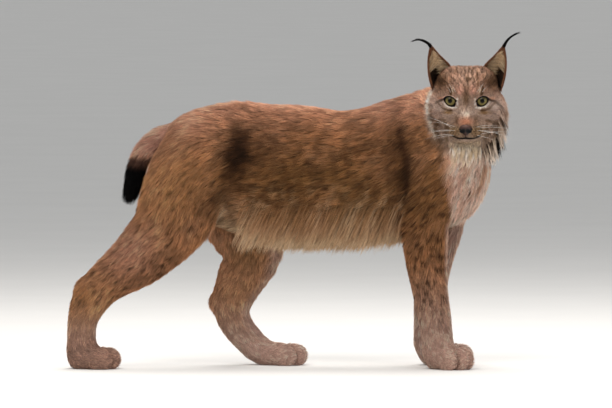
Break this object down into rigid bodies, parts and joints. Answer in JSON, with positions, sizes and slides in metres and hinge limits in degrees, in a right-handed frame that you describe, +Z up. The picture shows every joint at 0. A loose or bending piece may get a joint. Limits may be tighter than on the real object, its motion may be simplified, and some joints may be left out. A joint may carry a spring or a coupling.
{
  "type": "eurasian lynx, standing adult, still life-size model",
  "caption": "Standing lynx with its head turned to its right, pointed tufted ears, a ruff round the face and a short dark-tipped tail, on flat soles.",
  "frame": {"origin": "on the floor under the middle of the whole animal, its soles at Z = 0", "axes": "+X from tail to chest, +Y to the animal's left, +Z up; the face looks along -Y"},
  "size_m": [1.0393, 0.2753, 0.768],
  "materials": {
    "face_coat": "short grey-brown fur, streaked",
    "nose_leather": "bare dark brown skin, slightly moist",
    "body_coat": "tawny to rust-brown fur",
    "leg_coat": "rust-brown fur with small dark spots",
    "paw_coat": "pale pinkish beige fur",
    "ear_coat": "short fur, pale hair inside the cup",
    "black_coat": "black fur",
    "eyeball": "glossy, yellow-green iris"
  },
  "bodies": {
    "root": {"head": "face_coat", "nose": "nose_leather", "neck": "body_coat", "torso": "body_coat", "tail": "body_coat", "tail_tip": "black_coat", "ear_left": "ear_coat", "ear_right": "ear_coat", "tuft_left": "black_coat", "tuft_right": "black_coat", "eye_left": "eyeball", "eye_right": "eyeball", "shoulder_left": "body_coat", "shoulder_right": "body_coat", "forearm_left": "leg_coat", "forearm_right": "leg_coat", "forepaw_left": "paw_coat", "forepaw_right": "paw_coat", "thigh_left": "leg_coat", "thigh_right": "leg_coat", "shank_left": "leg_coat", "shank_right": "leg_coat", "hindpaw_left": "paw_coat", "hindpaw_right": "paw_coat"}
  },
  "joints": []
}
